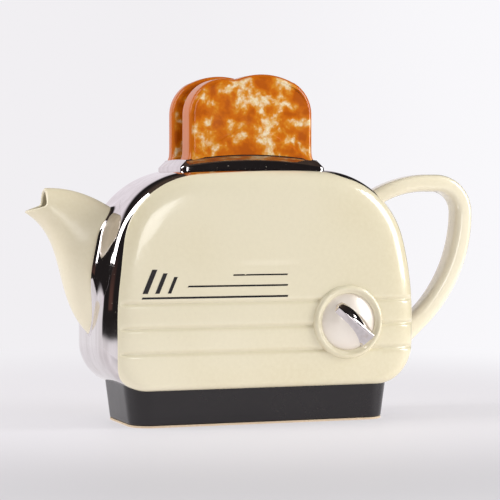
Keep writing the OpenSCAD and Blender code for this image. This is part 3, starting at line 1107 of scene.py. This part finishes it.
def slice_outline(inset):
    """Outline of a slice drawn in by inset: each point's x, z and share of outward in x."""
    join = bearing(CROWN_LOBE, RIGHT_LOBE)
    arcs = [
        (RIGHT_LOBE[:2], RIGHT_LOBE[2] - inset, 0, join, 22, 1),
        (CROWN_LOBE[:2], CROWN_LOBE[2] - inset, join + 1, bearing(CROWN_LOBE, DIP_C), 22, 1),
        (DIP_C, DIP_R + inset, bearing(DIP_C, CROWN_LOBE), bearing(DIP_C, LEFT_LOBE), 12, -1),
        (LEFT_LOBE[:2], LEFT_LOBE[2] - inset, bearing(LEFT_LOBE, DIP_C), 180, 26, 1),
    ]
    points = []
    right = RIGHT_LOBE[0] + RIGHT_LOBE[2] - inset
    for f in np.linspace(0, 1, 26, endpoint=False):
        points.append((right, TOAST_FOOT + (RIGHT_LOBE[1] - TOAST_FOOT) * f, 1))
    for (cx, cz), r, first, last, steps, sign in arcs:
        for a in np.radians(np.linspace(first, last, steps, endpoint=False)):
            points.append((cx + r * math.cos(a), cz + r * math.sin(a), sign * math.cos(a)))
    left = LEFT_LOBE[0] - LEFT_LOBE[2] + inset
    for f in np.linspace(0, 1, 27):
        points.append((left, LEFT_LOBE[1] + (TOAST_FOOT - LEFT_LOBE[1]) * f, -1))
    return points


def toast(name, node, turn, materials):
    """One slice with rounded crusts, a slightly sunk face and a flared foot."""
    low, high = node_box(node)
    cx, middle, _ = (low + high) / 2
    y0, y1 = low[1], high[1]
    crust = []
    for a in np.radians(np.linspace(90, 0, 9)):
        back, inset = TOAST_EDGE_R * (1 - math.sin(a)), TOAST_EDGE_R * (1 - math.cos(a))
        crust.append((back, inset, FACE_TONE + (1 - FACE_TONE) * math.cos(a)))
    rings = [(y1 - back, inset, tone) for back, inset, tone in crust]
    straight = y1 - y0 - 2 * TOAST_EDGE_R
    rings += [(y1 - TOAST_EDGE_R - straight * f, 0.0, 1.0) for f in (0.25, 0.5, 0.75)]
    rings += [(y0 + back, inset, tone) for back, inset, tone in crust[::-1]]
    rows = []
    tones = []
    for y, inset, tone in rings:
        lean = (y - middle) / (y1 - y0) * 2
        row = []
        for x, z, nx in slice_outline(inset):
            rise = z - lid_height(cx + turn * x, y)
            flare = FOOT_FLARE * math.exp(-max(rise, 0) / FOOT_FLARE_REACH)
            flare *= inset < TOAST_EDGE_R
            row.append((cx + turn * (x + flare * nx), y + flare * lean, z))
        rows.append(row)
        tones.append(np.full(len(row), tone))
    solid = Solid()
    solid.grid(rows, closed=True, tones=tones)
    for row, out in ((rows[0], 1), (rows[-1], -1)):
        solid.cap(row, 30, lift=face_dip(row, out), tone=FACE_TONE, inner_tone=0.0)
    return solid.make(name, materials, sharp=70)


def face_dip(row, out):
    """Sinks a slice's face a little behind its crust."""
    loop = np.array(row)
    middle = (loop.min(0) + loop.max(0)) / 2
    half = (loop.max(0) - loop.min(0)) / 2

    def lift(p):
        r = max(abs(p[0] - middle[0]) / half[0], abs(p[2] - middle[2]) / half[2])
        sink = FACE_SINK * smooth((1 - r) * 4)
        wave = math.sin(p[0] * 0.31 + 1.7) * math.sin(p[2] * 0.27)
        ripple = FACE_RIPPLE * wave * smooth((1 - r) * 5)
        return np.array([p[0], p[1] - out * (sink + ripple), p[2]])
    return lift


# ---------------------------------------------------------------- painted motif

SLANT = 0.42
# Left end, height of the lower edge, width and thickness.
MOTIF_LINES = [(-77.5, 76.0, 90.2, 1.15), (-49.5, 82.6, 62.2, 1.0), (-21.5, 89.0, 34.2, 0.85)]
MOTIF_BARS = [(-77.0 + 7.6 * k, 79.2, 3.1 - 0.5 * k, 14.0 - 2.2 * k) for k in range(3)]
MOTIF_STEPS = 28
MOTIF_PROUD = 0.1
MOTIF_SUNK = 0.15


def motif(materials):
    """Speed lines and slanted bars, fired on the front panel in place of lettering."""
    solid = Solid()
    for x, z, wide, high in MOTIF_LINES + MOTIF_BARS:
        lean = high * SLANT
        bar(solid, [(x, z), (x + wide, z), (x + wide + lean, z + high), (x + lean, z + high)])
    return solid.make("speed_lines", materials)


def bar(solid, corners):
    """A thin slab with the given corners in X and Z, laid on the front panel."""
    low_left, low_right, high_right, high_left = np.array(corners)
    share = np.linspace(0, 1, MOTIF_STEPS + 1)[:, None]
    lows = low_left + (low_right - low_left) * share
    highs = high_left + (high_right - high_left) * share
    layers = []
    for rise in (MOTIF_PROUD, -MOTIF_SUNK):
        rows = []
        for f in (0.0, 0.5, 1.0):
            row = []
            for x, z in lows + (highs - lows) * f:
                y = face_lift(np.array([x, FACE_Y + GLAZE_PROUD, z]))[1]
                row.append((x, -(y + rise), z))
            rows.append(row)
        layers.append(rows)
    front, back = layers
    solid.grid(front)
    solid.grid(back)
    for side in (0, -1):
        solid.grid([front[side], back[side]])
        solid.grid([[row[side] for row in front], [row[side] for row in back]])


# ---------------------------------------------------------------- materials

def srgb(r, g, b):
    """A colour given as it looks on screen, 0 to 255, in linear light."""
    def line(c):
        c /= 255
        return c / 12.92 if c <= 0.04045 else ((c + 0.055) / 1.055) ** 2.4
    return (line(r), line(g), line(b), 1.0)


class Nodes:
    """Short names for the nodes of one material or world."""

    def __init__(self, tree):
        self.tree = tree

    def add(self, kind, inputs=None, **settings):
        node = self.tree.nodes.new(kind)
        for key, value in settings.items():
            setattr(node, key, value)
        self.feed(node, inputs or {})
        return node

    def feed(self, node, inputs):
        """Gives inputs of a node their links or their values."""
        for key, value in inputs.items():
            if isinstance(value, bpy.types.NodeSocket):
                self.tree.links.new(value, node.inputs[key])
            else:
                node.inputs[key].default_value = value

    def math(self, operation, a, b=0.0):
        return self.add("ShaderNodeMath", {0: a, 1: b}, operation=operation).outputs[0]

    def times(self, a, b):
        return self.math("MULTIPLY", a, b)

    def along(self, x, y, p, q):
        """The sum of x times p and y times q."""
        return self.math("ADD", self.times(x, p), self.times(y, q))

    def ramp(self, value, low, high, to_low=0.0, to_high=1.0):
        return self.add("ShaderNodeMapRange", {
            "Value": value, "From Min": low, "From Max": high,
            "To Min": to_low, "To Max": to_high,
        }, interpolation_type="SMOOTHSTEP").outputs["Result"]

    def mix(self, factor, a, b):
        inputs = {"Factor": factor, "A": a, "B": b}
        return self.add("ShaderNodeMix", inputs, data_type="RGBA").outputs["Result"]

    def coordinates(self, kind):
        return self.add("ShaderNodeTexCoord").outputs[kind]

    def axes(self, kind):
        """X, Y and Z of the coordinates, apart."""
        return self.add("ShaderNodeSeparateXYZ", {"Vector": self.coordinates(kind)}).outputs

    def noise(self, scale, detail=3.0, rough=0.5, stretch=(1, 1, 1), warp=0.0):
        place = self.add("ShaderNodeMapping", {
            "Vector": self.coordinates("Object"), "Scale": stretch,
        })
        return self.add("ShaderNodeTexNoise", {
            "Vector": place.outputs["Vector"], "Scale": scale, "Detail": detail,
            "Roughness": rough, "Distortion": warp,
        }).outputs["Fac"]

    def bump(self, height, strength, distance, normal=None):
        inputs = {"Height": height, "Strength": strength, "Distance": distance}
        if normal is not None:
            inputs["Normal"] = normal
        return self.add("ShaderNodeBump", inputs).outputs["Normal"]

    def ray(self, kind):
        """1 for rays of this kind, and 0 for others."""
        return self.add("ShaderNodeLightPath").outputs[kind]

    def glow(self, colour):
        return self.add("ShaderNodeEmission", {"Color": colour}).outputs["Emission"]

    def blend(self, factor, a, b):
        """Two surfaces mixed."""
        return self.add("ShaderNodeMixShader", {"Fac": factor, 1: a, 2: b}).outputs["Shader"]


def surface(name):
    """A new material with a Principled surface, and its nodes."""
    material = bpy.data.materials.new(name)
    material.use_nodes = True
    return material, Nodes(material.node_tree), material.node_tree.nodes["Principled BSDF"]


def cream_glaze(name, colour, haze=0.0):
    """Glossy cream glaze with faint pooling, specks and a softly uneven surface."""
    material, n, shader = surface(name)
    pooled = n.mix(n.ramp(n.noise(9.0, 2.0), 0.35, 0.7), srgb(*colour),
                   srgb(*[c * f for c, f in zip(colour, (0.975, 0.965, 0.93))]))
    fine = n.mix(n.ramp(n.noise(420.0, 2.0), 0.3, 0.75, 0.0, 0.35), pooled,
                 srgb(*[min(255, c * 1.02) for c in colour]))
    specks = n.ramp(n.noise(1500.0, 1.0), 0.74, 0.8)
    wavy = n.bump(n.noise(22.0, 2.0), 0.16, 0.002)
    orange_peel = n.bump(n.noise(520.0, 1.0), 0.05, 0.0004, wavy)
    n.feed(shader, {
        "Base Color": n.mix(n.times(specks, 0.18), fine, srgb(150, 120, 80)),
        "Roughness": 0.22 + haze,
        "IOR": 1.52,
        "Coat Weight": 0.7,
        "Coat Roughness": n.ramp(n.noise(30.0, 2.0), 0.3, 0.8, 0.05 + haze, 0.1 + haze),
        "Normal": orange_peel,
        "Coat Normal": orange_peel,
    })
    return material


def lustre():
    """Fired platinum lustre: a bright mirror with brushed streaks, pinholes and thin places."""
    material, n, shader = surface("platinum_lustre")
    streak = n.noise(160.0, 3.0, 0.6, stretch=(1.0, 1.0, 0.06))
    thin = n.ramp(n.noise(60.0, 4.0, 0.65, warp=0.4), 0.62, 0.8)
    bright = n.mix(n.ramp(streak, 0.3, 0.7), srgb(232, 226, 227), srgb(216, 209, 209))
    colour = n.mix(n.times(thin, 0.35), bright, srgb(196, 170, 140))
    pin = n.ramp(n.noise(900.0, 1.0), 0.76, 0.8)
    wavy = n.bump(n.noise(26.0, 2.0), 0.10, 0.001)
    n.feed(shader, {
        "Base Color": n.mix(pin, colour, srgb(226, 214, 190)),
        "Metallic": n.math("SUBTRACT", 1.0, n.times(pin, 0.7)),
        "Roughness": n.ramp(streak, 0.3, 0.75, 0.035, 0.075),
        "Normal": n.bump(streak, 0.05, 0.0002, wavy),
    })
    return material


def pearl():
    """The dial's dome: thin lustre over cream, milky and soft."""
    material, n, shader = surface("pearl_lustre")
    wash = n.noise(70.0, 3.0, 0.55, warp=0.5)
    n.feed(shader, {
        "Base Color": n.mix(wash, srgb(246, 238, 226), srgb(240, 228, 214)),
        "Metallic": n.ramp(wash, 0.3, 0.8, 0.05, 0.2),
        "Roughness": 0.3,
        "Coat Weight": 0.6,
        "Coat Roughness": 0.06,
        "Normal": n.bump(n.noise(90.0, 2.0), 0.08, 0.0006),
    })
    return material


def black_glaze():
    """Satin black glaze, slightly uneven."""
    material, n, shader = surface("satin_black_glaze")
    cloud = n.noise(40.0, 4.0, 0.6)
    wavy = n.bump(n.noise(35.0, 2.0), 0.2, 0.001)
    n.feed(shader, {
        "Base Color": n.mix(cloud, srgb(22, 18, 20), srgb(30, 25, 28)),
        "Roughness": n.ramp(cloud, 0.2, 0.8, 0.2, 0.3),
        "Specular IOR Level": 0.5,
        "Normal": n.bump(n.noise(700.0, 2.0), 0.08, 0.0003, wavy),
    })
    return material


def bare_clay():
    """Unglazed biscuit clay with fine grit."""
    material, n, shader = surface("bare_clay")
    grit = n.noise(650.0, 3.0, 0.7)
    n.feed(shader, {
        "Base Color": n.mix(grit, srgb(226, 208, 180), srgb(190, 164, 134)),
        "Roughness": 0.85,
        "Normal": n.bump(grit, 0.4, 0.0004),
    })
    return material


def toast_glaze():
    """Sponged toast colours under a clear glaze: browned patches, pale crumb, even crust."""
    material, n, shader = surface("toast_glaze")
    tone = n.add("ShaderNodeAttribute", attribute_name="tone").outputs["Fac"]
    dabs = n.noise(96.0, 3.0, 0.55, warp=0.2)
    fine = n.noise(430.0, 2.0, 0.6)
    clouds = n.noise(62.0, 1.0, 0.5)
    browned = n.along(dabs, fine, 0.66, 0.06)
    browned = n.math("ADD", browned, n.times(clouds, 0.24))
    browned = n.math("ADD", browned, n.times(n.ramp(tone, 0.1, 0.5), 0.04))
    pale = n.mix(n.ramp(fine, 0.35, 0.65), srgb(238, 220, 186), srgb(228, 190, 126))
    honey = n.mix(n.ramp(browned, 0.395, 0.475), pale, srgb(216, 140, 32))
    brown = n.mix(n.ramp(browned, 0.445, 0.53), honey, srgb(202, 104, 2))
    dark = n.mix(n.ramp(browned, 0.52, 0.60), brown, srgb(182, 86, 0))
    crust = n.mix(n.ramp(tone, 0.62, 0.9), dark, srgb(196, 100, 10))
    wavy = n.bump(n.noise(60.0, 2.0), 0.2, 0.0008)
    n.feed(shader, {
        "Base Color": crust,
        "Roughness": 0.3,
        "Specular IOR Level": 0.12,
        "Coat Weight": 0.5,
        "Coat Roughness": 0.04,
        "Normal": wavy,
        "Coat Normal": wavy,
    })
    return material


# ---------------------------------------------------------------- studio

CAMERA_TURN = 19.5
CAMERA_DISTANCE = 1.22
CAMERA_HEIGHT = 0.1395
CAMERA_PITCH = math.atan(0.03)
CAMERA_SHIFT = 0.0084
SENSOR = 36
LENS = 144

# Screen colours of the dark room and of the backdrop.
ROOM = (36, 33, 33)
ROOM_BROWN = (84, 60, 54)
ROOM_CEILING = (78, 66, 58)
BACKDROP_MIRRORED = (240, 234, 240)
BACKGROUND = (241, 239, 242)
# Painted light: the backdrop's right side is a little lighter.
BACKGROUND_RIGHT = (249, 248, 251)
# The backdrop as reflections see it: azimuth, half width and height, in degrees.
BACKDROP_AZ = 192.0
BACKDROP_HALF = 35.0
BACKDROP_TOP = 28.0
FILL = 0.50
TABLE_REACH = 0.80
TABLE_R = 12.0


def turn_from(n, x, y, azimuth):
    """Degrees, either way, between the direction (x, y) and an azimuth (0 is the front)."""
    middle = math.radians(azimuth)
    ahead = n.along(x, y, math.sin(middle), -math.cos(middle))
    across = n.along(x, y, math.cos(middle), math.sin(middle))
    return n.times(n.math("ABSOLUTE", n.math("ARCTAN2", across, ahead)), 180 / math.pi)


def backdrop_paper(n, x, y, stand_off):
    """The backdrop's colour, with painted light that makes it a little brighter towards the right
    of the set.
    """
    turn = math.radians(CAMERA_TURN)
    across = n.along(x, y, math.cos(turn), -math.sin(turn))
    ahead = n.along(x, y, math.sin(turn), math.cos(turn))
    side = n.math("DIVIDE", across, n.math("MAXIMUM", n.math("ADD", ahead, stand_off), 0.01))
    return n.mix(n.ramp(side, -0.06, 0.14), srgb(*BACKGROUND), srgb(*BACKGROUND_RIGHT))


def studio_world():
    """White backdrop behind, dark room in front: seen in reflections, with an even fill light."""
    world = bpy.data.worlds.new("studio")
    bpy.context.scene.world = world
    world.use_nodes = True
    n = Nodes(world.node_tree)
    world.node_tree.nodes.clear()
    x, y, z = n.axes("Generated")
    height = n.times(n.math("ARCSINE", z), 180 / math.pi)
    wide = n.ramp(turn_from(n, x, y, BACKDROP_AZ), BACKDROP_HALF + 5, BACKDROP_HALF - 2)
    tall = n.ramp(height, BACKDROP_TOP + 5, BACKDROP_TOP - 4)
    brown = n.times(n.ramp(turn_from(n, x, y, -80), 22, 6), n.ramp(height, 16, 2))
    room = n.mix(brown, srgb(*ROOM), srgb(*ROOM_BROWN))
    room = n.mix(n.ramp(height, 40, 70), room, srgb(*ROOM_CEILING))
    mirror = n.mix(n.times(wide, tall), room, srgb(*BACKDROP_MIRRORED))
    seen = n.mix(n.ray("Is Diffuse Ray"), mirror, (FILL, FILL, FILL * 1.02, 1))
    seen = n.mix(n.ray("Is Camera Ray"), seen, backdrop_paper(n, x, y, 0.0))
    shader = n.add("ShaderNodeBackground", {"Color": seen, "Strength": 1.0})
    n.add("ShaderNodeOutputWorld", {"Surface": shader.outputs["Background"]})


def softbox(name, direction, distance, size, power):
    """A rectangular soft light that faces the pot."""
    target = Vector((0, 0, 0.09))
    light = bpy.data.lights.new(name, "AREA")
    light.shape = "RECTANGLE"
    light.size, light.size_y = size
    light.energy = power
    lamp = bpy.data.objects.new(name, light)
    bpy.context.scene.collection.objects.link(lamp)
    lamp.location = target + Vector(direction).normalized() * distance
    lamp.rotation_euler = (target - lamp.location).to_track_quat("-Z", "Y").to_euler()
    lamp.visible_camera = False


def lights():
    """Two side softboxes, and a small one by the camera."""
    softbox("left_softbox", (-0.79, 0.08, 0.60), 1.3, (0.46, 1.25), 9)
    softbox("right_softbox", (0.90, -0.40, 0.34), 1.3, (0.5, 0.85), 11.5)
    softbox("front_strip", (0.07, -0.98, 0.14), 1.5, (0.34, 0.36), 1.9)


def floor():
    """Pale table that fades into the backdrop, with a painted glow of its own and painted shade
    towards the camera.
    """
    mesh = bpy.data.meshes.new("floor")
    work = bmesh.new()
    bmesh.ops.create_circle(work, cap_ends=True, radius=TABLE_R, segments=96)
    work.to_mesh(mesh)
    work.free()
    table = bpy.data.objects.new("floor", mesh)
    bpy.context.scene.collection.objects.link(table)
    material, n, shader = surface("pale_floor")
    x, y, _ = n.axes("Object")
    away = n.math("SQRT", n.along(x, y, x, y))
    turn = math.radians(CAMERA_TURN)
    nearer = n.along(x, y, -math.sin(turn), -math.cos(turn))
    # Painted shade: the floor's colour and glow darken towards the camera's side.
    painted_shade = n.ramp(nearer, 0.02, 0.42, 1.0, 0.62)
    # The floor's own glow is painted light that lifts its shadows; diffuse rays see it brighter, as
    # bounce light.
    painted_glow_and_bounce = n.math("ADD", 0.475, n.times(n.ray("Is Diffuse Ray"), 0.275))
    n.feed(shader, {
        "Base Color": n.mix(n.times(painted_shade, 0.36), srgb(0, 0, 0), srgb(255, 252, 255)),
        "Roughness": 0.6,
        "Specular IOR Level": 0.2,
        "Emission Color": srgb(254, 251, 255),
        "Emission Strength": n.times(painted_shade, painted_glow_and_bounce),
    })
    paper = n.glow(backdrop_paper(n, x, y, CAMERA_DISTANCE))
    faded = n.blend(n.ramp(away, 0.20, 0.56), shader.outputs["BSDF"], paper)
    # Past the table's edge, reflections see the dark room rather than the backdrop's paper.
    past = n.times(
        n.ramp(away, TABLE_REACH - 0.05, TABLE_REACH + 0.05),
        n.ramp(turn_from(n, x, y, BACKDROP_AZ), BACKDROP_HALF - 2, BACKDROP_HALF + 5),
    )
    glossy = n.times(past, n.ray("Is Glossy Ray"))
    whole = n.blend(glossy, faded, n.glow(srgb(*ROOM)))
    n.feed(material.node_tree.nodes["Material Output"], {"Surface": whole})
    mesh.materials.append(material)


def camera():
    """The photograph's viewpoint: 19.5 degrees to the left, a little above half height."""
    data = bpy.data.cameras.new("camera")
    data.sensor_width = SENSOR
    data.lens = LENS
    data.shift_x = CAMERA_SHIFT
    eye = bpy.data.objects.new("camera", data)
    bpy.context.scene.collection.objects.link(eye)
    turn = math.radians(CAMERA_TURN)
    eye.location = (
        -CAMERA_DISTANCE * math.sin(turn), -CAMERA_DISTANCE * math.cos(turn), CAMERA_HEIGHT,
    )
    eye.rotation_euler = (math.pi / 2 - CAMERA_PITCH, 0, -turn)
    bpy.context.scene.camera = eye


# ---------------------------------------------------------------- the teapot

def build():
    """Every piece, on its body."""
    cream = cream_glaze("cream_glaze", (231, 222, 194))
    chrome = lustre()
    black = black_glaze()
    toasted = toast_glaze()
    place(band([chrome, cream]), "pot", "lustre", "band_shell")
    place(panel("front_panel_cream", -1, [cream]), "pot", "cream_glaze", "front_panel")
    place(panel("rear_panel_cream", 1, [cream]), "pot", "cream_glaze", "rear_panel")
    place(base([black, cream]), "pot", "black_glaze", "base_plinth")
    place(foot([bare_clay()]), "pot", "bare_clay", "foot")
    spout_cream = cream_glaze("spout_cream_glaze", (236, 226, 199), haze=0.16)
    place(spout([spout_cream]), "pot", "cream_glaze", "spout")
    place(spout_collar([chrome]), "pot", "lustre")
    # The handle's cream is a lighter copy of the glaze: painted light, as the handle stands nearer
    # the right softbox.
    handle_cream = cream_glaze("handle_cream_painted_light", (243, 234, 208))
    place(handle([handle_cream]), "pot", "cream_glaze", "handle")
    place(bezel([cream]), "pot", "cream_glaze", "dial_bezel")
    place(knob([pearl()]), "pot", "lustre", "dial_knob")
    place(pointer([chrome]), "pot", "lustre", "dial_pointer")
    place(motif([black]), "pot", "black_glaze")
    place(lid([chrome, cream]), "lid", "lustre", "lid_plate")
    place(flange([cream]), "lid", "cream_glaze", "lid_flange")
    for side, turn in (("front", 1), ("rear", -1)):
        node = f"toast_{side}"
        place(toast(f"toast_slice_{side}", node, turn, [toasted]), "lid", "toast_glaze", node)


build()
floor()
lights()
studio_world()
camera()
bpy.context.scene.view_settings.view_transform = "Standard"
